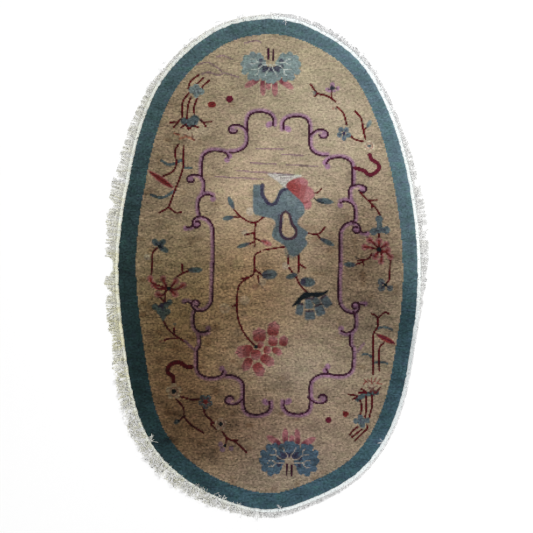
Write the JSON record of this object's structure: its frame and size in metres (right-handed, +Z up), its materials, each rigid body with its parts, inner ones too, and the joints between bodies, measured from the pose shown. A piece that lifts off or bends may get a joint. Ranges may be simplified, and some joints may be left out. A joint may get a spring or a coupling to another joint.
{
  "type": "oval fringed rug",
  "caption": "Flat oval knotted wool rug with a dark border, a floral field and a short cotton fringe sewn all round its edge.",
  "frame": {"origin": "centre of the flat underside, on the surface that the rug lies on", "axes": "+Z up out of the pile, +Y along the long axis towards the end with the pale palmette, +X to the right as seen from above"},
  "size_m": [1.0152, 1.5777, 0.011],
  "materials": {
    "wool_pile": "worn cut wool pile, matt, taupe field with a blue-green border and floral motifs",
    "fringe_cotton": "washed, matted off-white cotton yarn and tape"
  },
  "bodies": {
    "root": {"rug_body": "wool_pile", "fringe": "fringe_cotton"}
  },
  "joints": []
}
